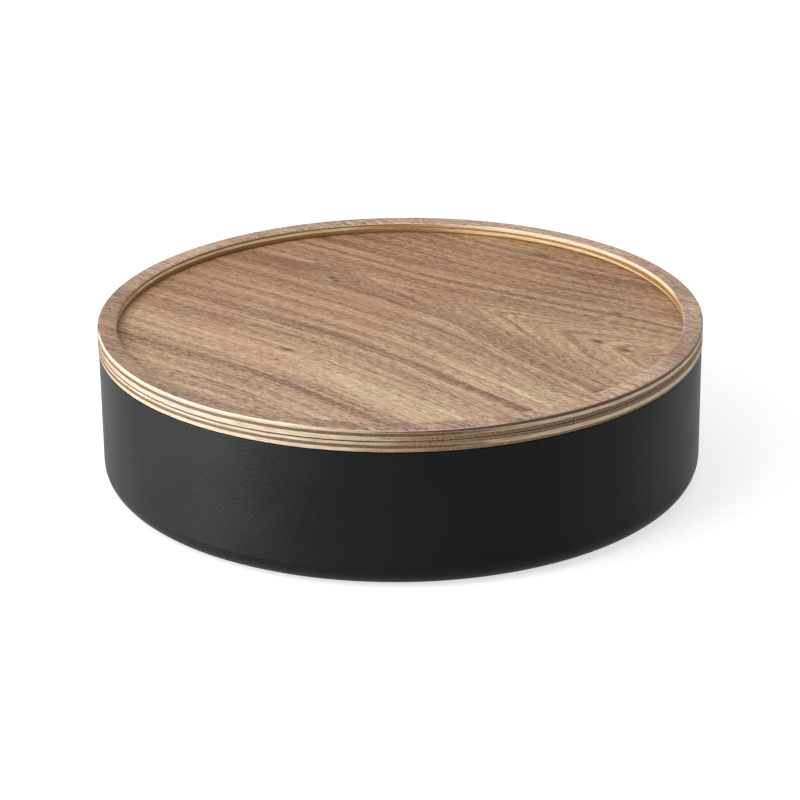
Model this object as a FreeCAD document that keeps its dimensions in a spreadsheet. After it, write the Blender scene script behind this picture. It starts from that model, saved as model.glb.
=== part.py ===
import FreeCAD, Part
import os
import Sketcher

# A round storage box: a moulded tub under a lift-off plywood lid. The lid is an open ring of
# walnut-faced plywood glued on a full panel of the same board, so that its top is a shallow tray.
# A smaller spacer disc and a plug disc are glued under the panel. The gap that they leave is the
# groove of the seal ring, and the plug keeps the lid central in the tub.
# Millimetres, Z up, origin at the centre of the tub's standing face.

DIMENSIONS = {
    # The lid's outline, the width of its rim, and how far it stands out over the tub
    "lid_diameter": 230.0,
    "rim_width": 7.3,
    "lid_overhang": 0.25,
    # The board stock: a face veneer on plies of one thickness, with broken outer edges
    "veneer_thickness": 0.5,
    "ply_thickness": 1.25,
    "edge_rounding": 0.3,
    # The tub: it narrows by the taper from its mouth to its base
    "tub_height": 53.0,
    "wall_thickness": 2.75,
    "wall_taper": 0.15,
    "floor_thickness": 2.75,
    "base_rounding": 8.0,
    "mouth_rounding": 0.7,
    "foot_width": 6.0,
    "foot_height": 0.8,
    # The plug inside the mouth, and how far the spacer above it is set back
    "plug_clearance": 0.9,
    "groove_depth": 4.5,
    # The seal ring: its body, its two lips and the room left around it
    "seal_body_width": 2.4,
    "seal_clearance": 0.35,
    "lip_root": 0.9,
    "lip_tip": 0.45,
    "lip_rise": 0.35,
}

doc = FreeCAD.newDocument("round_storage_box")
sheet = doc.addObject("Spreadsheet::Sheet", "sizes")
for row, (alias, value) in enumerate(DIMENSIONS.items(), start=1):
    sheet.set(f"A{row}", alias)
    sheet.set(f"B{row}", str(value))
    sheet.setAlias(f"B{row}", alias)
doc.recompute()

# Radii and heights that several pieces share, as formulas of the sheet's cells
LID_RADIUS = "sizes.lid_diameter / 2"
RECESS_RADIUS = f"{LID_RADIUS} - sizes.rim_width"
MOUTH_RADIUS = f"{LID_RADIUS} - sizes.lid_overhang"
MOUTH_INNER_RADIUS = f"{MOUTH_RADIUS} - sizes.wall_thickness"
BASE_RADIUS = f"{MOUTH_RADIUS} - sizes.wall_taper"
BASE_INNER_RADIUS = f"{BASE_RADIUS} - sizes.wall_thickness"
FOOT_INNER_RADIUS = f"{BASE_RADIUS} - sizes.base_rounding - sizes.foot_width"
FLOOR_LEVEL = "sizes.foot_height + sizes.floor_thickness"
PLUG_RADIUS = f"{MOUTH_INNER_RADIUS} - sizes.plug_clearance"
SPACER_RADIUS = f"{PLUG_RADIUS} - sizes.groove_depth"

# The layers of a board from the bottom up, bare or with its veneer on one side
PLIES = ["bottom_ply", "core_ply", "top_ply"]
FACE_UP = PLIES + ["face_veneer"]
FACE_DOWN = ["face_veneer"] + PLIES
BARE_BOARD = f"{len(PLIES)} * sizes.ply_thickness"
FACED_BOARD = f"{BARE_BOARD} + sizes.veneer_thickness"

# The boards' levels: the panel lies on the tub's mouth, the ring on it, the spacer and the plug under it
PANEL_BOTTOM = "sizes.tub_height"
RIM_BOTTOM = f"{PANEL_BOTTOM} + {FACED_BOARD}"
SPACER_BOTTOM = f"{PANEL_BOTTOM} - {BARE_BOARD}"
PLUG_BOTTOM = f"{SPACER_BOTTOM} - ({FACED_BOARD})"


def origin_plane(body, role):
    """The body's own origin plane of that role."""
    return next(plane for plane in body.Origin.OriginFeatures if plane.Role == role)


def new_sketch(body, role):
    """An empty sketch on one of the body's origin planes."""
    sketch = body.newObject("Sketcher::SketchObject", f"{body.Label}_outline")
    sketch.AttachmentSupport = [(origin_plane(body, role), "")]
    sketch.MapMode = "FlatFace"
    return sketch


def bind(sketch, name, kind, places, formula):
    """Adds a dimension to the sketch and ties it to a formula of the sheet's cells."""
    value = float(sketch.evalExpression(formula))
    index = sketch.addConstraint(Sketcher.Constraint(kind, *places, value))
    sketch.renameConstraint(index, name)
    sketch.setExpression(f"Constraints.{name}", formula)


def draw_circle(sketch, name, formula):
    """A circle about the axis whose radius follows the formula."""
    radius = float(sketch.evalExpression(formula))
    circle = sketch.addGeometry(Part.Circle(FreeCAD.Vector(), FreeCAD.Vector(0, 0, 1), radius))
    sketch.addConstraint(Sketcher.Constraint("Coincident", circle, 3, -1, 1))
    bind(sketch, name, "Radius", [circle], formula)


def draw_section(sketch, corners):
    """A closed outline of straight runs, whose corners are (radius, height) formulas."""
    points = []
    for radius, height in corners:
        places = [float(sketch.evalExpression(formula)) for formula in (radius, height)]
        points.append(FreeCAD.Vector(*places, 0))
    for index, point in enumerate(points):
        sketch.addGeometry(Part.LineSegment(point, points[(index + 1) % len(points)]))
    for index, (radius, height) in enumerate(corners):
        previous = (index - 1) % len(corners)
        sketch.addConstraint(Sketcher.Constraint("Coincident", previous, 2, index, 1))
        for axis, kind, formula in (("radius", "DistanceX", radius), ("height", "DistanceY", height)):
            if formula == "0":
                own_axis = -2 if kind == "DistanceX" else -1
                sketch.addConstraint(Sketcher.Constraint("PointOnObject", index, 1, own_axis))
            else:
                bind(sketch, f"{axis}{index}", kind, [-1, 1, index, 1], formula)


def turned(name, corners):
    """A body of revolution about Z from a section of (radius, height) formulas."""
    body = doc.addObject("PartDesign::Body", name)
    sketch = new_sketch(body, "XZ_Plane")
    draw_section(sketch, corners)
    solid = body.newObject("PartDesign::Revolution", f"{name}_turned")
    solid.Profile = sketch
    solid.ReferenceAxis = (sketch, ["V_Axis"])
    solid.Angle = 360
    doc.recompute()
    return body


def layer(name, bottom, thickness, outer, inner=None):
    """A flat disc, or a ring where it has an inner radius, cut from one sheet of wood."""
    body = doc.addObject("PartDesign::Body", name)
    sketch = new_sketch(body, "XY_Plane")
    draw_circle(sketch, "outer_radius", outer)
    if inner:
        draw_circle(sketch, "inner_radius", inner)
    sheet_of_wood = body.newObject("PartDesign::Pad", f"{name}_sheet")
    sheet_of_wood.Profile = sketch
    sheet_of_wood.setExpression("Length", thickness)
    body.setExpression("Placement.Base.z", bottom)
    doc.recompute()
    return body


def board(name, layers, bottom, outer, inner=None):
    """Layers of one outline, glued on each other from the bottom up."""
    bodies = {}
    level = bottom
    for kind in layers:
        thickness = "sizes.veneer_thickness" if kind == "face_veneer" else "sizes.ply_thickness"
        bodies[kind] = layer(f"{name}_{kind}", level, thickness, outer, inner)
        level = f"{level} + {thickness}"
    return bodies


def round_edges(body, formula, *circles):
    """Rounds the body's circular edges that have these (radius, height) formulas, in its own frame."""
    base = body.Tip
    names = []
    for radius, height in circles:
        wanted_radius = float(body.evalExpression(radius))
        wanted_height = float(body.evalExpression(height))
        found = [
            f"Edge{index}"
            for index, edge in enumerate(base.Shape.Edges, start=1)
            if isinstance(edge.Curve, Part.Circle)
            and abs(edge.Curve.Radius - wanted_radius) < Part.Precision.confusion()
            and abs(edge.Curve.Center.z - wanted_height) < Part.Precision.confusion()
        ]
        if not found:
            raise RuntimeError(f"{body.Label}: no edge of radius {wanted_radius} at height {wanted_height}")
        names += found
    fillet = body.newObject("PartDesign::Fillet", f"{body.Label}_{base.Name}_rounding")
    fillet.Base = (base, names)
    fillet.setExpression("Radius", formula)
    doc.recompute()


# The tub: one moulding with a rounded base, a low standing ring under it and softened mouth edges
tub = turned("tub", [
    ("0", "sizes.foot_height"),
    (FOOT_INNER_RADIUS, "sizes.foot_height"),
    (FOOT_INNER_RADIUS, "0"),
    (BASE_RADIUS, "0"),
    (MOUTH_RADIUS, "sizes.tub_height"),
    (MOUTH_INNER_RADIUS, "sizes.tub_height"),
    (BASE_INNER_RADIUS, FLOOR_LEVEL),
    ("0", FLOOR_LEVEL),
])
round_edges(tub, "sizes.base_rounding", (BASE_RADIUS, "0"))
round_edges(tub, "sizes.base_rounding - sizes.wall_thickness", (BASE_INNER_RADIUS, FLOOR_LEVEL))
round_edges(
    tub, "sizes.mouth_rounding",
    (MOUTH_RADIUS, "sizes.tub_height"), (MOUTH_INNER_RADIUS, "sizes.tub_height"),
)

# The plug hangs inside the mouth, its veneer facing down, and the bare spacer disc is glued on it
plug = board("plug", FACE_DOWN, PLUG_BOTTOM, PLUG_RADIUS)
round_edges(plug["face_veneer"], "sizes.edge_rounding", (PLUG_RADIUS, "0"))
board("spacer", PLIES, SPACER_BOTTOM, SPACER_RADIUS)

# The seal ring stands on the plug, round the spacer, and its two lips reach out to the tub's wall
SEAL_INNER = f"{SPACER_RADIUS} + sizes.seal_clearance"
SEAL_OUTER = f"{SEAL_INNER} + sizes.seal_body_width"
SEAL_TIP = f"{MOUTH_INNER_RADIUS} - sizes.seal_clearance"
SEAL_TOP = f"{PANEL_BOTTOM} - sizes.seal_clearance"
UPPER_LIP = f"{SEAL_TOP} - sizes.lip_rise - sizes.lip_root"
turned("lid_seal", [
    (SEAL_INNER, SPACER_BOTTOM),
    (SEAL_OUTER, SPACER_BOTTOM),
    (SEAL_TIP, f"{SPACER_BOTTOM} + sizes.lip_rise"),
    (SEAL_TIP, f"{SPACER_BOTTOM} + sizes.lip_rise + sizes.lip_tip"),
    (SEAL_OUTER, f"{SPACER_BOTTOM} + sizes.lip_root"),
    (SEAL_OUTER, UPPER_LIP),
    (SEAL_TIP, f"{UPPER_LIP} + sizes.lip_rise"),
    (SEAL_TIP, f"{UPPER_LIP} + sizes.lip_rise + sizes.lip_tip"),
    (SEAL_OUTER, f"{UPPER_LIP} + sizes.lip_root"),
    (SEAL_OUTER, SEAL_TOP),
    (SEAL_INNER, SEAL_TOP),
])

# The panel covers the tub, and the ring glued on it leaves the panel's veneer open as the tray's floor
panel = board("panel", FACE_UP, PANEL_BOTTOM, LID_RADIUS)
round_edges(panel["bottom_ply"], "sizes.edge_rounding", (LID_RADIUS, "0"))
rim = board("rim", FACE_UP, RIM_BOTTOM, LID_RADIUS, RECESS_RADIUS)
round_edges(
    rim["face_veneer"], "sizes.edge_rounding",
    (LID_RADIUS, "sizes.veneer_thickness"), (RECESS_RADIUS, "sizes.veneer_thickness"),
)

doc.recompute()
for item in doc.Objects:
    if "Invalid" in item.State or "Error" in item.State:
        raise RuntimeError(f"{item.Label} failed: {item.State}")
bodies = [item for item in doc.Objects if item.isDerivedFrom("PartDesign::Body")]
for body in bodies:
    if body.Shape.isNull() or not body.Shape.isValid() or len(body.Shape.Solids) != 1:
        raise RuntimeError(f"{body.Label} is not one valid solid")
os.makedirs("parts", exist_ok=True)
for body in bodies:
    body.Shape.exportStep(f"parts/{body.Label}.step")
    box = body.Shape.optimalBoundingBox()
    print(f"{body.Label}: {body.Shape.Volume:.1f} mm3, {box.XLength:.2f} wide, top at {box.ZMax:.2f}")
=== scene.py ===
import bpy
import math
import random
from mathutils import Matrix, Vector


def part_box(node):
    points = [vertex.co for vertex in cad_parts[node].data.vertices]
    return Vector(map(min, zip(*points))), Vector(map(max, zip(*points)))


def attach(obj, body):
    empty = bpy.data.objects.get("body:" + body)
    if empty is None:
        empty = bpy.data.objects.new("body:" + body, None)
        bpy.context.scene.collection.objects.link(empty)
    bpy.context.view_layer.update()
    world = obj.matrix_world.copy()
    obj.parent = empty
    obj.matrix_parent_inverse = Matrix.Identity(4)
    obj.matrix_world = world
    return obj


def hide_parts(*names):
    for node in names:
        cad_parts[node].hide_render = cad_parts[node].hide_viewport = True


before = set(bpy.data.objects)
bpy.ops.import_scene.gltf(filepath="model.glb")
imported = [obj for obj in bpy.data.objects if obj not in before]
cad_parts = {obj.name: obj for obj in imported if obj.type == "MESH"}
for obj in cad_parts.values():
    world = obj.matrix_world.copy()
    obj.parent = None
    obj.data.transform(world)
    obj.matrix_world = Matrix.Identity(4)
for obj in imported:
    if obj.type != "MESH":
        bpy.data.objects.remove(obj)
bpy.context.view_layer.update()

# The tub is one deep round moulding of matt black plastic. It leaves its mould with slightly
# tapered walls, a wide round at the base, a low standing ring and softened edges at the mouth.
# The seal holds the lid a hair above the mouth, so a thin dark gap shows under the lid.
MM = 0.001
TURN_STEPS = 360
ARC_STEPS = 8
SHARP_ANGLE = math.radians(40)


def rounded(corners, closed=True):
    """Points of a section whose corners are (radius, height, rounding), with an arc at each rounding."""
    points = []
    for index, (radius, height, rounding) in enumerate(corners):
        here = Vector((radius, height))
        if not rounding:
            points.append(here)
            continue
        back = (Vector(corners[index - 1][:2]) - here).normalized()
        ahead = (Vector(corners[(index + 1) % len(corners)][:2]) - here).normalized()
        half = back.angle(ahead) / 2
        centre = here + (back + ahead).normalized() * rounding / math.sin(half)
        start = (here + back * rounding / math.tan(half) - centre).normalized()
        end = (here + ahead * rounding / math.tan(half) - centre).normalized()
        for step in range(ARC_STEPS + 1):
            points.append(centre + rounding * start.slerp(end, step / ARC_STEPS))
    return points + points[:1] if closed else points


def turned(name, section):
    """A mesh object made by turning a section of (radius, height) points about the upright axis."""
    verts = []
    faces = []
    rings = []
    for index, (radius, height) in enumerate(section):
        if index and section[index] == section[0]:
            rings.append(rings[0])
            continue
        steps = TURN_STEPS if radius > 0 else 1
        rings.append(range(len(verts), len(verts) + steps))
        for step in range(steps):
            azimuth = math.tau * step / TURN_STEPS
            verts.append((radius * math.cos(azimuth), radius * math.sin(azimuth), height))
    for lower, upper in zip(rings, rings[1:]):
        for step in range(TURN_STEPS):
            after = (step + 1) % TURN_STEPS
            corners = [lower[step % len(lower)], lower[after % len(lower)]]
            corners += [upper[after % len(upper)], upper[step % len(upper)]]
            faces.append(list(dict.fromkeys(corners)))
    mesh = bpy.data.meshes.new(name)
    mesh.from_pydata(verts, [], faces)
    mesh.polygons.foreach_set("use_smooth", [True] * len(mesh.polygons))
    mesh.set_sharp_from_angle(angle=SHARP_ANGLE)
    mesh.update()
    piece = bpy.data.objects.new(name, mesh)
    bpy.context.scene.collection.objects.link(piece)
    piece.modifiers.new("even_shading", "WEIGHTED_NORMAL").keep_sharp = True
    return piece


def linear(code):
    """A colour written as sRGB hex, turned to the linear values that shaders take."""
    shares = [int(code[place:place + 2], 16) / 255 for place in (1, 3, 5)]
    return [c / 12.92 if c <= 0.04045 else ((c + 0.055) / 1.055) ** 2.4 for c in shares] + [1.0]


def socket(sockets, place):
    """The socket at a number, or the one in use that has a name."""
    if isinstance(place, int):
        return sockets[place]
    return next(item for item in sockets if item.enabled and item.name == place)


def add(material, kind, inputs=None, stops=None, **settings):
    """Adds a node: settings are its properties, inputs its values or links, stops a ramp's tones."""
    tree = material.node_tree
    node = tree.nodes.new("ShaderNode" + kind)
    for name, value in settings.items():
        setattr(node, name, value)
    for place, value in (inputs or {}).items():
        if isinstance(value, bpy.types.Node):
            value = next(item for item in value.outputs if item.enabled)
        if isinstance(value, bpy.types.NodeSocket):
            tree.links.new(value, socket(node.inputs, place))
        else:
            socket(node.inputs, place).default_value = value
    ordered = sorted(stops or [])
    for index, (position, tone) in enumerate(ordered):
        elements = node.color_ramp.elements
        at_end = index in (0, len(ordered) - 1)
        element = elements[-1 if index else 0] if at_end else elements.new(position)
        element.position = position
        element.color = linear(tone) if isinstance(tone, str) else (tone, tone, tone, 1)
    return node


def new_material(name):
    """A material without nodes."""
    material = bpy.data.materials.new(name)
    material.use_nodes = True
    material.node_tree.nodes.clear()
    return material


# Moulded black plastic with a fine spark-eroded texture: a dark grey without gloss, whose grain
# shows only where light grazes it. The real grit of 0.2 mm is drawn at 0.9 mm so that it shows.
GRIT = 0.9 * MM
GRIT_HEIGHT = 0.1 * MM
FLOW_MARK = 30 * MM
PLASTIC_TONES = ("#09090A", "#101011")
MOTTLE_FROM = 0.35
MOTTLE_TO = 0.65
moulded = new_material("moulded_black_plastic")
place = add(moulded, "TexCoord").outputs["Object"]
grit = add(moulded, "TexNoise", {"Vector": place, "Scale": 1 / GRIT, "Detail": 2.0})
flow = add(moulded, "TexNoise", {"Vector": place, "Scale": 1 / FLOW_MARK, "Detail": 2.0})
mottle = add(moulded, "Mix", {"Factor": 0.4, "A": flow, "B": grit})
tone = add(moulded, "ValToRGB", {"Fac": mottle}, stops=zip((MOTTLE_FROM, MOTTLE_TO), PLASTIC_TONES))
rough = add(moulded, "MapRange", {
    "Value": mottle, "From Min": MOTTLE_FROM, "From Max": MOTTLE_TO, "To Min": 0.42, "To Max": 0.52,
})
bump = add(moulded, "Bump", {"Height": grit, "Strength": 0.8, "Distance": GRIT_HEIGHT})
skin = add(moulded, "BsdfPrincipled", {
    "Base Color": tone, "Roughness": rough, "Normal": bump, "Specular IOR Level": 0.11,
})
add(moulded, "OutputMaterial", {"Surface": skin})

WALL = 2.75 * MM
WALL_TAPER = 0.15 * MM
BASE_ROUNDING = 8 * MM
MOUTH_ROUNDING = 0.25 * MM
FOOT_HEIGHT = 0.8 * MM
FOOT_WIDTH = 6 * MM
GAP_UNDER_LID = 0.4 * MM
tub_low, tub_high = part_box("tub")
mouth_radius = -tub_low.x
mouth_level = tub_high.z - GAP_UNDER_LID
base_radius = mouth_radius - WALL_TAPER
floor_level = FOOT_HEIGHT + WALL
foot_inner = base_radius - BASE_ROUNDING - FOOT_WIDTH
tub = turned("moulded_tub", rounded([
    (0, FOOT_HEIGHT, 0),
    (foot_inner, FOOT_HEIGHT, 0),
    (foot_inner, tub_low.z, 0),
    (base_radius, tub_low.z, BASE_ROUNDING),
    (mouth_radius, mouth_level, MOUTH_ROUNDING),
    (mouth_radius - WALL, mouth_level, MOUTH_ROUNDING),
    (base_radius - WALL, floor_level, BASE_ROUNDING - WALL),
    (0, floor_level, 0),
], closed=False))
tub.data.materials.append(moulded)
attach(tub, "tub")
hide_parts("tub")

# The plug and the spacer are discs of thin birch plywood, glued under the lid to centre it in the
# tub. Each board is three plies with the middle one's grain across, and the plug has a walnut face.
GRAIN_AZIMUTH = math.radians(-38)
CROSS_AZIMUTH = GRAIN_AZIMUTH + math.pi / 2
lid_radius = -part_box("panel_core_ply")[0].x

# Birch ply, sanded at its cut edge: pale and finely streaked where the cut runs along the fibres,
# brown and speckled with pores where it runs across them, so each ply's tone changes round the lid.
# The pores of about 0.1 mm are drawn at 0.45 mm so that they show. Sizes are in mm, length first.
BIRCH_STREAK = (9, 0.3)
BIRCH_PORE = (0.9, 0.45)
BIRCH_PATCH = (14, 1.0)
BIRCH_PATCHINESS = 0.35
BIRCH_RELIEF = 0.06 * MM
STREAK_STOPS = (0.32, 0.48, 0.66)
PORE_STOPS = (0.34, 0.5, 0.66)
SHADE_FADE = 0.3 * MM


def birch(name, grain_azimuth, along_fibres, across_fibres, painted_shade=None):
    """Birch with its tones, dark to pale, for cuts along and across the fibres. The painted shade is a
    height and a tone: up to there, the wood is darkened towards that tone as painted shade low on a wall."""
    material = new_material(name)
    spot = add(material, "SeparateXYZ", {0: add(material, "TexCoord").outputs["Object"]})
    azimuth = add(material, "Math", {0: spot.outputs["Y"], 1: spot.outputs["X"]}, operation="ARCTAN2")
    arc = add(material, "Math", {0: azimuth, 1: lid_radius / MM}, operation="MULTIPLY")
    height = add(material, "Math", {0: spot.outputs["Z"], 1: 1 / MM}, operation="MULTIPLY")
    edge = add(material, "CombineXYZ", {0: arc, 1: height})
    noises = []
    for length, width in (BIRCH_STREAK, BIRCH_PORE, BIRCH_PATCH):
        scaled = add(material, "VectorMath", {0: edge, 1: (1 / length, 1 / width, 0)}, operation="MULTIPLY")
        noise = {"Vector": scaled, "Scale": 1.0, "Detail": 3.0, "Roughness": 0.65}
        noises.append(add(material, "TexNoise", noise, noise_dimensions="2D"))
    streaks, pores, patches = noises

    # End grain shows where the edge faces along the fibres, with patchy borders
    turn = add(material, "Math", {0: azimuth, 1: grain_azimuth}, operation="SUBTRACT")
    facing = add(material, "Math", {0: turn}, operation="COSINE")
    squared = add(material, "Math", {0: facing, 1: facing}, operation="MULTIPLY")
    uneven = add(material, "Math", {0: patches, 1: BIRCH_PATCHINESS, 2: squared}, operation="MULTIPLY_ADD")
    end_grain = add(material, "MapRange", {
        "Value": uneven, "From Min": 0.3, "From Max": 0.68,
    }, interpolation_type="SMOOTHSTEP")
    normal = add(material, "SeparateXYZ", {0: add(material, "NewGeometry").outputs["Normal"]})
    lying = add(material, "Math", {0: normal.outputs["Z"]}, operation="ABSOLUTE")
    upright = add(material, "Math", {0: 1.0, 1: lying}, operation="SUBTRACT")
    share = add(material, "Math", {0: end_grain, 1: upright}, operation="MULTIPLY")
    along = add(material, "ValToRGB", {"Fac": streaks}, stops=zip(STREAK_STOPS, along_fibres))
    across = add(material, "ValToRGB", {"Fac": pores}, stops=zip(PORE_STOPS, across_fibres))
    tone = add(material, "Mix", {"Factor": share, "A": along, "B": across}, data_type="RGBA")
    # Painted shade: below a given height the tone is darkened, where a wall meets the floor
    if painted_shade:
        shade_top, shade_tone = painted_shade
        shade_share = add(material, "MapRange", {
            "Value": spot.outputs["Z"], "From Min": shade_top - SHADE_FADE, "From Max": shade_top + SHADE_FADE,
            "To Min": 0.8, "To Max": 0.0,
        })
        tone = add(material, "Mix", {"Factor": shade_share, "A": tone, "B": linear(shade_tone)}, data_type="RGBA")

    relief = add(material, "Mix", {"Factor": share, "A": streaks, "B": pores})
    bump = add(material, "Bump", {"Height": relief, "Strength": 0.5, "Distance": BIRCH_RELIEF})
    wood = add(material, "BsdfPrincipled", {
        "Base Color": tone, "Normal": bump, "Roughness": 0.62, "Specular IOR Level": 0.3,
    })
    add(material, "OutputMaterial", {"Surface": wood})
    return material


# Crown-cut walnut veneer, sanded and oiled: brown growth lines that arch round the heart of the
# log, short dark pores along the grain and a few pin knots, and a tint that deepens one side, which on
# the panel and the plug is a painted sheen that leaves their front paler and greyer.
# The pores of about 0.2 mm are drawn at 0.7 mm and the fibres about as wide, so that they show.
# Each pattern is its length along the grain and width across it in mm, then its octaves.
SLOW_WANDER = (85, 32, 1)
QUICK_WANDER = (30, 9, 2)
RAGGED_ARCHES = (60, 8, 1)
BROAD_LINES = (150, 2.6, 2)
FINE_LINES = (50, 0.9, 2)
WALNUT_FIBRES = (4.2, 0.75, 4)
CLOUDS = (110, 60, 1)
ROSY_STREAKS = (70, 16, 2)
WALNUT_PORE = (3.6, 0.7)
WALNUT_RELIEF = 0.05 * MM
SLOW_REACH = 3.0
QUICK_REACH = 1.6
ARCH_REACH = 16.0
GRAIN_LEAN = 0.025
BAND_CONTRAST = 0.85
CALM_AGE = 15.0
LIVELY_AGE = 80.0
FAR_SIDE_STIR = 0.2
TONE_STOPS = (0.2, 0.36, 0.5, 0.64, 0.82)
ROSY_TONE = "#FDF3F4"
KNOT_TONE = "#3A2218"
PALE_TONE = "#E6CDB2"
PORE_TONE = "#46302A"
# Painted highlight: the sheet's edge turns pale where its normal faces the lamps at the front left.
HIGHLIGHT_AZIMUTH = math.radians(-138)
HIGHLIGHT_SIDE = (math.cos(HIGHLIGHT_AZIMUTH), math.sin(HIGHLIGHT_AZIMUTH), 0)
HIGHLIGHT_STOPS = (0.306, 0.353)
HIGHLIGHT_BLUR = 0.03


def walnut(name, tones, tint, edge_and_highlight_tones, heart, growth, knots, seed):
    """Walnut with tones from dark to pale and a tint that grows along a direction between two places in
    mm. Edge tones are for the sheet's edge: its own dark tone, and a painted highlight where the edge
    faces the lamps at the front left. The heart is its place along and across the grain, its depth and
    rise, the squeeze of the lines on its far side and how pointed the arches are.
    Growth is the first and last age in mm with the bands' tones on the near and far side. Each knot is
    its place, length and width in mm, its push on the lines, and its stain, below zero for a pale one."""
    material = new_material(name)
    texture = add(material, "TexCoord")
    place = texture.outputs["Object"]
    sheet = add(material, "Mapping", {
        "Vector": place, "Rotation": (0, 0, -GRAIN_AZIMUTH), "Scale": (1 / MM, 1 / MM, 1 / MM),
    })
    spot = add(material, "SeparateXYZ", {0: sheet})
    along = spot.outputs["X"]

    def stretched_noise(vector, pattern):
        length, width, octaves = pattern
        size = {0: vector, 1: (1 / length, 1 / width, 0), 2: (seed, seed, 0)}
        scaled = add(material, "VectorMath", size, operation="MULTIPLY_ADD")
        noise = {"Vector": scaled, "Scale": 1.0, "Detail": octaves, "Roughness": 0.68}
        return add(material, "TexNoise", noise, noise_dimensions="2D")

    # The heart of the log lies under the sheet and rises towards it along the grain
    heart_along, heart_across, heart_depth, heart_rise, far_squeeze, pointed = heart
    leaning = {0: along, 1: GRAIN_LEAN, 2: spot.outputs["Y"]}
    beside = add(material, "Math", leaning, operation="MULTIPLY_ADD")
    beside = add(material, "Math", {0: beside, 1: heart_across}, operation="SUBTRACT")
    for pattern, reach in ((SLOW_WANDER, SLOW_REACH), (QUICK_WANDER, QUICK_REACH)):
        wander = add(material, "Math", {0: stretched_noise(sheet, pattern), 1: 0.5}, operation="SUBTRACT")
        beside = add(material, "Math", {0: wander, 1: reach, 2: beside}, operation="MULTIPLY_ADD")
    ragged = {0: stretched_noise(sheet, RAGGED_ARCHES), 1: ARCH_REACH, 2: along}
    past = add(material, "Math", ragged, operation="MULTIPLY_ADD")
    past = add(material, "Math", {0: past, 1: heart_along + ARCH_REACH / 2}, operation="SUBTRACT")
    past = add(material, "Math", {0: past, 1: 0.0}, operation="MAXIMUM")
    past = add(material, "Math", {0: past, 1: past}, operation="MULTIPLY")
    depth = add(material, "Math", {0: past, 1: -heart_rise, 2: heart_depth}, operation="MULTIPLY_ADD")
    depth = add(material, "Math", {0: depth}, operation="ABSOLUTE")
    depth = add(material, "Math", {0: depth, 1: pointed}, operation="POWER")
    far_side = add(material, "Math", {0: beside, 1: 0.0}, operation="GREATER_THAN")
    squeeze = add(material, "Math", {0: far_side, 1: far_squeeze - 1, 2: 1.0}, operation="MULTIPLY_ADD")
    flank = add(material, "Math", {0: beside, 1: squeeze}, operation="MULTIPLY")
    flank = add(material, "Math", {0: flank}, operation="ABSOLUTE")
    flank = add(material, "Math", {0: flank, 1: pointed}, operation="POWER")
    age = add(material, "Math", {0: depth, 1: flank}, operation="ADD")
    age = add(material, "Math", {0: age, 1: 1 / pointed}, operation="POWER")

    # Each knot pushes the growth lines out round it or leaves a stain
    stains = []
    for knot_along, knot_across, length, width, push, stain in knots:
        away = add(material, "VectorMath", {0: sheet, 1: (knot_along, knot_across, 0)}, operation="SUBTRACT")
        away = add(material, "VectorMath", {0: away, 1: (1 / length, 1 / width, 0)}, operation="MULTIPLY")
        away = add(material, "VectorMath", {0: away, 1: away}, operation="DOT_PRODUCT").outputs["Value"]
        away = add(material, "Math", {0: away, 1: -1.0}, operation="MULTIPLY")
        near = add(material, "Math", {0: away}, operation="EXPONENT")
        if push:
            age = add(material, "Math", {0: near, 1: push, 2: age}, operation="MULTIPLY_ADD")
        if stain:
            share = add(material, "Math", {0: near, 1: abs(stain)}, operation="MULTIPLY")
            stains.append((share, KNOT_TONE if stain > 0 else PALE_TONE))

    # Growth bands by their distance from the heart, on its near and its far side
    first, last, near_bands, far_bands = growth
    share = add(material, "MapRange", {"Value": age, "From Min": first, "From Max": last})
    sides = []
    for bands in (near_bands, far_bands):
        stops = []
        for distance, tone in bands:
            stops.append(((distance - first) / (last - first), 0.5 + BAND_CONTRAST * (tone - 0.5)))
        ramp = add(material, "ValToRGB", {"Fac": share}, stops=stops)
        ramp.color_ramp.interpolation = "EASE"
        sides.append(ramp)
    tone = add(material, "Mix", {"Factor": far_side, "A": sides[0], "B": sides[1]}, data_type="RGBA")

    # Fine lines follow the growth, fibres run straight, and slow clouds lie over both. They are calmer
    # near the heart and livelier on its far side
    grown = add(material, "CombineXYZ", {0: along, 1: age})
    fibres = stretched_noise(sheet, WALNUT_FIBRES)
    calm = add(material, "MapRange", {
        "Value": age, "From Min": CALM_AGE, "From Max": LIVELY_AGE, "To Min": 0.85, "To Max": 1.0,
    })
    calm = add(material, "Math", {0: far_side, 1: FAR_SIDE_STIR, 2: calm}, operation="MULTIPLY_ADD")
    details = (
        (stretched_noise(grown, BROAD_LINES), 0.15),
        (stretched_noise(grown, FINE_LINES), 0.22),
        (fibres, 0.35),
        (stretched_noise(sheet, CLOUDS), 0.08),
    )
    for detail, strength in details:
        calmed = add(material, "Math", {0: calm, 1: strength}, operation="MULTIPLY")
        layers = {"Factor": calmed, "A": tone, "B": detail}
        tone = add(material, "Mix", layers, data_type="RGBA", blend_type="LINEAR_LIGHT")
    colour = add(material, "ValToRGB", {"Fac": tone}, stops=zip(TONE_STOPS, tones))

    # Some streaks are rosier, and the whole sheet deepens towards one side; on the panel and the plug this
    # is a painted sheen that leaves the front paler
    rosy = add(material, "MapRange", {
        "Value": stretched_noise(sheet, ROSY_STREAKS), "From Min": 0.4, "From Max": 0.65,
    })
    tint_tone, tint_side, tint_first, tint_last = tint
    inward = add(material, "VectorMath", {0: place, 1: tint_side}, operation="DOT_PRODUCT").outputs["Value"]
    deeper = add(material, "MapRange", {
        "Value": inward, "From Min": tint_first * MM, "From Max": tint_last * MM,
    })
    for share, wash in ((rosy, ROSY_TONE), (deeper, tint_tone)):
        washed = {"Factor": share, "A": colour, "B": linear(wash)}
        colour = add(material, "Mix", washed, data_type="RGBA", blend_type="MULTIPLY")

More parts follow.
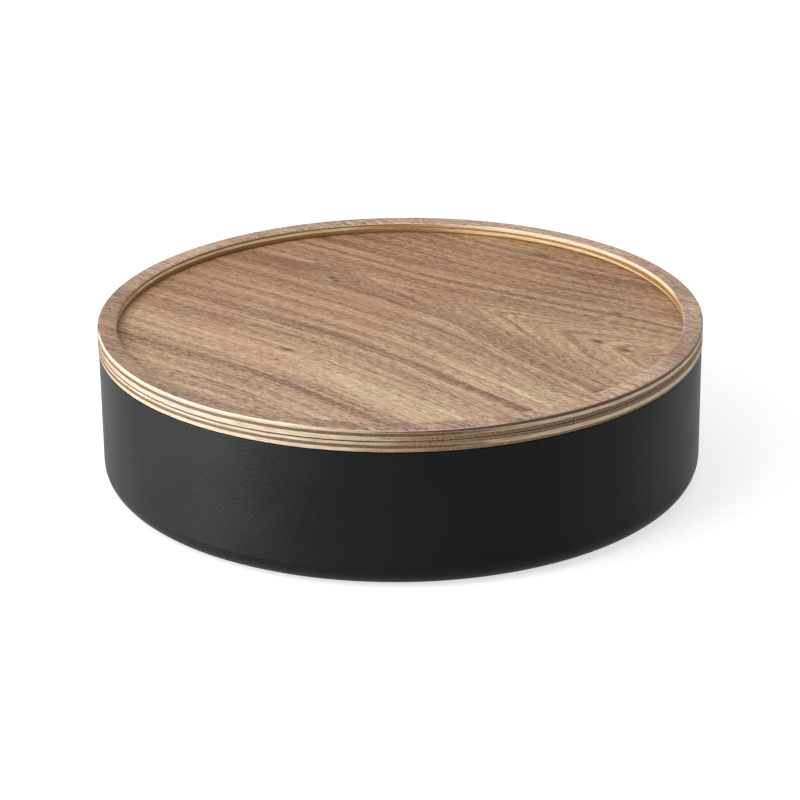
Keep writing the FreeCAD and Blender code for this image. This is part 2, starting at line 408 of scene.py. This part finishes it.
    # Pores lie along the fibres, most of them in the darker lines
    length, width = WALNUT_PORE
    pore_place = add(material, "VectorMath", {0: sheet, 1: (1 / length, 1 / width, 0)}, operation="MULTIPLY")
    pores = add(material, "TexVoronoi", {"Vector": pore_place, "Scale": 1.0}, voronoi_dimensions="2D")
    pores = add(material, "MapRange", {
        "Value": pores.outputs["Distance"], "From Min": 0.1, "From Max": 0.36, "To Min": 1.0, "To Max": 0.0,
    })
    dark_share = add(material, "MapRange", {
        "Value": tone, "From Min": 0.35, "From Max": 0.65, "To Min": 0.85, "To Max": 0.25,
    })
    stains.append((add(material, "Math", {0: pores, 1: dark_share}, operation="MULTIPLY"), PORE_TONE))
    for share, stain_tone in stains:
        soaked = {"Factor": share, "A": colour, "B": linear(stain_tone)}
        colour = add(material, "Mix", soaked, data_type="RGBA")

    # The sheet's edge is dark, with a painted highlight where it faces the lamps at the front left: there
    # the edge tone turns pale and reaches further up the bevel
    normal = texture.outputs["Normal"]
    facing = add(material, "VectorMath", {0: normal, 1: HIGHLIGHT_SIDE}, operation="DOT_PRODUCT")
    facing = facing.outputs["Value"]
    edge = add(material, "ValToRGB", {"Fac": facing}, stops=zip(HIGHLIGHT_STOPS, edge_and_highlight_tones))
    highlight_reach = add(material, "MapRange", {
        "Value": facing, "From Min": 0.24, "From Max": 0.36, "To Min": 0.8, "To Max": 0.96,
    })
    height = add(material, "SeparateXYZ", {0: normal}).outputs["Z"]
    lying = add(material, "Math", {0: height}, operation="ABSOLUTE")
    over = add(material, "Math", {0: highlight_reach, 1: lying}, operation="SUBTRACT")
    upright = add(material, "MapRange", {"Value": over, "From Min": -HIGHLIGHT_BLUR, "From Max": HIGHLIGHT_BLUR})
    colour = add(material, "Mix", {"Factor": upright, "A": colour, "B": edge}, data_type="RGBA")

    relief = add(material, "Math", {0: pores, 1: -0.7, 2: fibres}, operation="MULTIPLY_ADD")
    bump = add(material, "Bump", {"Height": relief, "Strength": 0.3, "Distance": WALNUT_RELIEF})
    rough = add(material, "MapRange", {
        "Value": fibres, "From Min": 0.3, "From Max": 0.7, "To Min": 0.5, "To Max": 0.62,
    })
    wood = add(material, "BsdfPrincipled", {
        "Base Color": colour, "Roughness": rough, "Normal": bump, "Specular IOR Level": 0.2,
    })
    add(material, "OutputMaterial", {"Surface": wood})
    return material


SANDED_BIRCH = ("#B89A78", "#D0B89A", "#E2D3C0")
ply_birch = birch(
    "birch_ply_lengthwise", GRAIN_AZIMUTH,
    along_fibres=SANDED_BIRCH, across_fibres=("#664A32", "#8A6C4E", "#A88862"),
)
cross_birch = birch(
    "birch_ply_crosswise", CROSS_AZIMUTH,
    along_fibres=("#C0A084", "#E2CCB0", "#F4E6D2"), across_fibres=("#4A3220", "#664A2E", "#846644"),
)
WALNUT_TONES = ("#664C3B", "#937760", "#BC9F83", "#D6BD9D", "#E8D7B9")
# Painted sheen: the panel and the plug deepen towards the back, so that their front looks paler and greyer.
PAINTED_SHEEN_TINT = ("#E4D4C4", (0.1, 0.95, 0), -90, 60)
plug_bands = [(70, 0.5), (120, 0.44), (150, 0.55), (185, 0.45), (220, 0.56), (260, 0.44), (310, 0.5)]
plug_walnut = walnut(
    "walnut_veneer_plug", WALNUT_TONES, PAINTED_SHEEN_TINT,
    edge_and_highlight_tones=("#4A3426", "#6E523C"),
    heart=(20, -190, 20, 0.001, 1, 2),
    growth=(70, 310, plug_bands, plug_bands),
    knots=[(-40, 30, 2.5, 1.0, 0, 0.8)],
    seed=9.0,
)

GLUE_LINE_SWAY = 0.05 * MM
SWAY_WAVES = 5
RIGHT_AZIMUTH = math.radians(20)
RIGHT_REACH = math.radians(24)
BROKEN_EDGE = 0.3 * MM
PLY_EDGE = 0.1 * MM


def sway(seed, quarters=(0, 0, 0, 0), at_right=0):
    """The slow rise and fall of a glue line round the lid, as a function of the azimuth. The quarters are
    its rise in mm along the grain, across it, and at the two opposite places, and at_right is a further
    rise on a short stretch at the right of the lid."""
    draw = random.Random(seed)
    waves = [(draw.randint(2, 30), draw.uniform(0, math.tau)) for _ in range(SWAY_WAVES)]

    def height(azimuth):
        ripple = sum(math.sin(number * azimuth + phase) for number, phase in waves)
        total = GLUE_LINE_SWAY * ripple / SWAY_WAVES
        for quarter, rise in enumerate(quarters):
            share = max(0.0, math.cos(azimuth - GRAIN_AZIMUTH - quarter * math.pi / 2))
            total += rise * MM * share ** 2
        beside = (azimuth - RIGHT_AZIMUTH) / RIGHT_REACH
        return total + at_right * MM * math.exp(-beside ** 2)

    return height


def level(azimuth):
    """The face of a board, which is flat."""
    return 0.0


def lid_layer(node, materials, under, over, inner=0, bottom_edge=PLY_EDGE, top_edge=PLY_EDGE, sanded=None):
    """One ply or veneer of the lid in its node's place, between the glue lines under and over it. Of two
    materials, the second is for the wall round its hole. Sanded is the reach and drop of a bevelled arris."""
    low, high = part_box(node)
    radius = -low.x
    if sanded:
        reach, drop = sanded
        section = rounded([
            (inner, low.z, bottom_edge),
            (radius, low.z, bottom_edge),
            (radius, high.z - drop, bottom_edge),
            (radius - reach, high.z, top_edge),
            (inner + reach, high.z, top_edge),
            (inner, high.z - drop, bottom_edge),
        ])
    elif inner:
        section = rounded([
            (inner, low.z, bottom_edge),
            (radius, low.z, PLY_EDGE),
            (radius, high.z, top_edge),
            (inner, high.z, top_edge),
        ])
    else:
        section = rounded([
            (0, low.z, 0),
            (radius, low.z, bottom_edge),
            (radius, high.z, top_edge),
            (0, high.z, 0),
        ], closed=False)
    piece = turned(f"{node}_sheet", section)
    for vertex in piece.data.vertices:
        azimuth = math.atan2(vertex.co.y, vertex.co.x)
        share = (vertex.co.z - low.z) / (high.z - low.z)
        vertex.co.z += under(azimuth) * (1 - share) + over(azimuth) * share
    for material in materials:
        piece.data.materials.append(material)
    for face in piece.data.polygons:
        if inner and face.center.to_2d().length < inner + BROKEN_EDGE:
            face.material_index = len(materials) - 1
    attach(piece, "lid")
    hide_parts(node)
    return piece


plug_glue = [sway(0), sway(1), sway(2)]
lid_layer("plug_face_veneer", [plug_walnut], level, plug_glue[0], bottom_edge=BROKEN_EDGE)
lid_layer("plug_bottom_ply", [ply_birch], plug_glue[0], plug_glue[1])
lid_layer("plug_core_ply", [cross_birch], plug_glue[1], plug_glue[2])
lid_layer("plug_top_ply", [ply_birch], plug_glue[2], level)
spacer_glue = [sway(3), sway(4)]
lid_layer("spacer_bottom_ply", [ply_birch], level, spacer_glue[0])
lid_layer("spacer_core_ply", [cross_birch], spacer_glue[0], spacer_glue[1])
lid_layer("spacer_top_ply", [ply_birch], spacer_glue[1], level)

# The panel covers the tub. It is the same board with its walnut face up, which is the tray's floor,
# and the veneer's edge shows as a thin dark line between the panel and the ring on it. Its figure
# has arches on the right, straight lines on both flanks, a burl at the back left and pin knots.
arch_bands = [
    (0, 0.6), (8.6, 0.57), (10, 0.56), (20.2, 0.54), (21.6, 0.44), (23, 0.54), (29.8, 0.54), (31.2, 0.44),
    (33, 0.51),
]
panel_near = arch_bands + [
    (40, 0.41), (43, 0.4), (45.3, 0.6), (48.3, 0.44), (52.3, 0.46), (55.7, 0.57), (59.8, 0.47), (65, 0.61),
    (67.8, 0.45), (71.2, 0.57), (74.7, 0.34), (79, 0.53), (85.3, 0.47), (94.3, 0.55), (101.2, 0.6),
    (108.6, 0.58), (114.7, 0.5), (118.4, 0.36), (124, 0.56), (126.5, 0.46), (130.7, 0.57), (134, 0.47),
    (150, 0.5),
]
panel_far = arch_bands + [
    (44.3, 0.43), (50.7, 0.54), (55, 0.36), (58.6, 0.57), (64, 0.53), (67, 0.42), (80.3, 0.5), (83.6, 0.43),
    (93, 0.57), (98.2, 0.45), (101.7, 0.56), (109.6, 0.44), (113.2, 0.51), (119.4, 0.4), (124.8, 0.57),
    (131, 0.42), (134.6, 0.56), (150, 0.5),
]
burl = [
    (-54, 30, 13, 5, 4.5, 0), (-22, 22, 12, 3, 0, 0.18), (-76, 29, 16, 6, 0, 0.22),
    (-45, 35, 9, 5.5, 0, -0.1), (-54.2, 25.6, 2.0, 1.1, 0, 1), (-50.5, 24.0, 1.8, 1.0, 0, 1),
]
pin_knots = [
    (71.2, 29.5, 3.0, 1.3, 0, 1), (84.6, 28.1, 2.5, 1.2, 0, 1), (60, 59, 2.8, 1.3, 0, 0.8),
    (-17.7, -45.8, 3.0, 0.9, 0, 1), (-2, 96.4, 5, 2, 0, 0.7),
]
panel_walnut = walnut(
    "walnut_veneer_panel", WALNUT_TONES, PAINTED_SHEEN_TINT,
    edge_and_highlight_tones=("#2E1E14", "#4A3424"),
    heart=(-30, 33, 37, 0.00204, 1.9, 1.5),
    growth=(0, 150, panel_near, panel_far),
    knots=burl + pin_knots,
    seed=0.0,
)
panel_glue = [sway(5, (-0.3, 0, 0, 0.3)), sway(6, (-0.05, 0, 0, 0.35)), sway(7)]
lid_layer("panel_bottom_ply", [ply_birch], level, panel_glue[0], bottom_edge=BROKEN_EDGE)
lid_layer("panel_core_ply", [cross_birch], panel_glue[0], panel_glue[1])
lid_layer("panel_top_ply", [ply_birch], panel_glue[1], panel_glue[2])
lid_layer("panel_face_veneer", [panel_walnut], panel_glue[2], level)

# The rim is a ring cut from the same board and glued on the panel. Its walnut is a sheet of its own,
# so the figure breaks off at the recess. Sanding has bevelled its arrises, and where they face the lamps
# at the front left they carry a painted highlight. The rim's stains are slow changes of its colour.
RIM_WIDTH = 7.3 * MM
RIM_ARRIS = (0.8 * MM, 0.35 * MM)
ARRIS_EASE = 1.0 * MM
VENEER_EDGE = 0.08 * MM
recess_radius = lid_radius - RIM_WIDTH
rim_bands = [
    (140, 0.5), (160, 0.48), (188, 0.42), (205, 0.43), (225, 0.5), (245, 0.55), (262, 0.53), (285, 0.5),
    (300, 0.52), (314, 0.44), (322, 0.5), (335, 0.52), (347, 0.45), (356, 0.5), (380, 0.45),
]
rim_stains = [
    (52, -98, 9, 2.2, 0, 0.4), (92, -62, 8, 2, 0, 0.35), (103, -42, 12, 12, 0, 0.16),
    (106, 30, 20, 20, 0, 0.34), (88, 68, 12, 12, 0, -0.3), (22, 108, 20, 8, 0, -0.4),
    (-56, 95, 18, 10, 0, 0.14), (-97, 54, 14, 16, 0, -0.25), (-110, 4, 14, 18, 0, -0.35),
    (-88, -68, 10, 8, 0, 0.2),
]
rim_walnut = walnut(
    "walnut_veneer_rim", ("#634B40", "#977A68", "#C2A48B", "#DABFA5", "#EFD9C0"),
    tint=("#DBD8D3", (-0.97, -0.24, 0), -30, 115),
    # The second edge tone is the painted highlight on the arris
    edge_and_highlight_tones=("#745A46", "#F0DFC4"),
    heart=(0, 260, 0, 0, 1, 2),
    growth=(140, 380, rim_bands, rim_bands),
    knots=rim_stains,
    seed=5.0,
)

# Oiled birch: the oil that is wiped on the tray turns the wall round the recess to a warm honey, goes
# deepest into end grain and darkens the top ply's outer edge. The wall's bottom ply is warmer still, as
# painted bounce light, and darker where it meets the floor, as painted shade.
RING_GRAIN = GRAIN_AZIMUTH - math.radians(8)
RING_CROSS = RING_GRAIN + math.pi / 2
WALL_SHADE_HEIGHT = 0.7 * MM
WALL_FOOT_EDGE = 0.5 * MM
WALL_END_GRAIN = ("#74593A", "#8C6E4C", "#A4875E")
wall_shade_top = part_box("rim_bottom_ply")[0].z + WALL_SHADE_HEIGHT
soaked_birch = birch(
    "oil_soaked_birch", GRAIN_AZIMUTH,
    along_fibres=SANDED_BIRCH, across_fibres=("#4E3420", "#62452C", "#78593A"),
)
tray_ply = birch(
    "oiled_birch_lengthwise", RING_GRAIN,
    along_fibres=("#D4B078", "#F0DAB2", "#FFF4DC"), across_fibres=WALL_END_GRAIN,
)
tray_core = birch(
    "oiled_birch_crosswise", RING_CROSS,
    along_fibres=("#D0AE78", "#F2D6A2", "#FFF2CC"), across_fibres=("#7A5226", "#9E723A", "#BC9250"),
)
# The wall's bottom ply: warmer tones as painted bounce light, and a painted shade where it meets the floor
tray_bounce_and_shade = birch(
    "oiled_birch_with_painted_bounce_and_shade", RING_GRAIN,
    along_fibres=("#CFA468", "#E8C68E", "#FADDB0"), across_fibres=WALL_END_GRAIN, painted_shade=(wall_shade_top, "#6E4420"),
)
rim_glue = [sway(8, (-0.05, 0.65, 0.75, 0.5), -0.55), sway(9, (0, 0.4, 0.55, 0.6), 0.35), sway(10)]
lid_layer("rim_bottom_ply", [ply_birch, tray_bounce_and_shade], level, rim_glue[0], recess_radius, WALL_FOOT_EDGE)
lid_layer("rim_core_ply", [cross_birch, tray_core], rim_glue[0], rim_glue[1], recess_radius)
lid_layer("rim_top_ply", [soaked_birch, tray_ply], rim_glue[1], rim_glue[2], recess_radius)
lid_layer(
    "rim_face_veneer", [rim_walnut], rim_glue[2], level, recess_radius,
    bottom_edge=VENEER_EDGE, top_edge=ARRIS_EASE, sanded=RIM_ARRIS,
)

# The seal is a ring of dark silicone, moulded with two thin lips and stretched into the groove
# that the spacer leaves between the plug and the panel.
SEAL_BODY_WIDTH = 2.4 * MM
SEAL_CLEARANCE = 0.35 * MM
LIP_ROOT = 0.9 * MM
LIP_TIP = 0.45 * MM
LIP_RISE = 0.35 * MM
SEAL_INNER_EDGE = 0.3 * MM
SEAL_OUTER_EDGE = 0.2 * MM
LIP_ROOT_EDGE = 0.1 * MM
LIP_TIP_EDGE = 0.15 * MM
seal_low, seal_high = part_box("lid_seal")
tip_radius = -seal_low.x
seal_inner = -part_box("spacer_core_ply")[0].x + SEAL_CLEARANCE
seal_outer = seal_inner + SEAL_BODY_WIDTH
seal_section = [(seal_inner, seal_high.z, SEAL_INNER_EDGE), (seal_inner, seal_low.z, SEAL_INNER_EDGE)]
for lip_foot in (seal_low.z, seal_high.z - LIP_RISE - LIP_ROOT):
    seal_section += [
        (seal_outer, lip_foot, LIP_ROOT_EDGE),
        (tip_radius, lip_foot + LIP_RISE, LIP_TIP_EDGE),
        (tip_radius, lip_foot + LIP_RISE + LIP_TIP, LIP_TIP_EDGE),
        (seal_outer, lip_foot + LIP_ROOT, LIP_ROOT_EDGE),
    ]
seal_section.append((seal_outer, seal_high.z, SEAL_OUTER_EDGE))
seal = turned("moulded_seal", rounded(seal_section))

# Moulded silicone: a soft dark grey with a faint cloudy bloom and a dull sheen.
BLOOM = 6 * MM
silicone = new_material("moulded_silicone")
place = add(silicone, "TexCoord").outputs["Object"]
bloom = add(silicone, "TexNoise", {"Vector": place, "Scale": 1 / BLOOM, "Detail": 4.0})
tone = add(silicone, "ValToRGB", {"Fac": bloom}, stops=[(0.3, "#2B2B2C"), (0.7, "#3A3A3B")])
soft = add(silicone, "BsdfPrincipled", {"Base Color": tone, "Roughness": 0.5, "Specular IOR Level": 0.35})
add(silicone, "OutputMaterial", {"Surface": soft})
seal.data.materials.append(silicone)
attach(seal, "seal")
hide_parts("lid_seal")

# The floor is a plain pale sheet that shows white to the camera and keeps the object's shadow.
# Away from the object it fades to full white, as a sheet does that is swept up behind.
FLOOR_HALF = 4.0
FADE_FROM = 0.5
FADE_TO = 1.6


def seen_directly(material):
    """One for rays from the camera, from a gloss or through a clear piece, and nothing for other rays."""
    path = add(material, "LightPath").outputs
    seen = add(material, "Math", {0: path["Is Camera Ray"], 1: path["Is Glossy Ray"]}, operation="ADD")
    return add(material, "Math", {0: seen, 1: path["Is Transmission Ray"]}, operation="ADD")


floor_mesh = bpy.data.meshes.new("pale_floor")
floor_corners = [(x * FLOOR_HALF, y * FLOOR_HALF, 0) for x, y in ((-1, -1), (1, -1), (1, 1), (-1, 1))]
floor_mesh.from_pydata(floor_corners, [], [(0, 1, 2, 3)])
floor = bpy.data.objects.new("pale_floor", floor_mesh)
bpy.context.scene.collection.objects.link(floor)
paper = new_material("pale_floor")
plain = add(paper, "BsdfDiffuse", {"Color": linear("#C4C4C4")})
away = add(paper, "VectorMath", {0: add(paper, "TexCoord").outputs["Object"]}, operation="LENGTH")
lift = add(paper, "MapRange", {
    "Value": away.outputs["Value"], "From Min": FADE_FROM, "From Max": FADE_TO, "To Min": 0.66, "To Max": 1.0,
})
lifted = add(paper, "AddShader", {0: plain, 1: add(paper, "Emission", {"Strength": lift})})
sheet = add(paper, "MixShader", {0: seen_directly(paper), 1: plain, 2: lifted})
add(paper, "OutputMaterial", {"Surface": sheet})
floor.data.materials.append(paper)

# Soft studio light: a large box high at the front left, a low strip there that lights the edges of the
# plies, a weak box on the right and one overhead, with a little light from all round. A card beside the
# strip shows only as a sheen on the tub. The world is white to the camera and in reflections.
LIGHT_AIM = Vector((0, 0, 0.03))
AIR_STRENGTH = 0.25
for name, place, width, height, watts in (
    ("key_box", (-0.85, -0.5, 0.9), 1.0, 1.0, 12.6),
    ("low_strip", (-1.02, -0.52, 0.12), 0.6, 0.2, 7),
    ("gloss_card", (-1.06, -0.42, 0.12), 0.6, 0.2, 36),
    ("fill_box", (1.3, -0.3, 0.6), 0.9, 0.9, 3.0),
    ("top_box", (0.0, 0.2, 1.5), 1.2, 1.2, 6.5),
):
    lamp = bpy.data.lights.new(name, "AREA")
    lamp.shape = "RECTANGLE"
    lamp.size = width
    lamp.size_y = height
    lamp.energy = watts
    holder = bpy.data.objects.new(name, lamp)
    holder.location = place
    holder.rotation_euler = (LIGHT_AIM - Vector(place)).to_track_quat("-Z", "Y").to_euler()
    bpy.context.scene.collection.objects.link(holder)
    holder.visible_diffuse = name != "gloss_card"

world = bpy.data.worlds.new("studio_air")
bpy.context.scene.world = world
world.use_nodes = True
world.node_tree.nodes.clear()
air = add(world, "Background", {"Color": linear("#FFFFFF"), "Strength": AIR_STRENGTH})
white = add(world, "Background", {"Color": linear("#FFFFFF"), "Strength": 1.0})
around = add(world, "MixShader", {0: seen_directly(world), 1: air, 2: white})
add(world, "OutputWorld", {"Surface": around})

# The camera looks down on the lid at a low angle, as far off as a table-top shot is taken from.
# Its focal length is given in pixels of the square picture, and it leans by a fraction of a degree.
FRAME_PIXELS = 800
FOCAL_PIXELS = 3149.1
SENSOR_WIDTH = 36
CAMERA_DISTANCE = 1.2
CAMERA_ELEVATION = math.radians(20.484)
CAMERA_PITCH = math.radians(22.047)
CAMERA_YAW = math.radians(0.018)
CAMERA_ROLL = math.radians(-0.636)
lid_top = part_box("rim_face_veneer")[1].z
camera_data = bpy.data.cameras.new("camera")
camera_data.sensor_width = SENSOR_WIDTH
camera_data.lens = FOCAL_PIXELS / FRAME_PIXELS * SENSOR_WIDTH
camera = bpy.data.objects.new("camera", camera_data)
camera.location = (
    0,
    -CAMERA_DISTANCE * math.cos(CAMERA_ELEVATION),
    lid_top + CAMERA_DISTANCE * math.sin(CAMERA_ELEVATION),
)
yawed = Matrix.Rotation(CAMERA_YAW, 3, "Z")
pitched = Matrix.Rotation(math.pi / 2 - CAMERA_PITCH, 3, "X")
rolled = Matrix.Rotation(CAMERA_ROLL, 3, "Z")
camera.rotation_euler = (yawed @ pitched @ rolled).to_euler()
bpy.context.scene.collection.objects.link(camera)
bpy.context.scene.camera = camera
bpy.context.scene.view_settings.view_transform = "Standard"
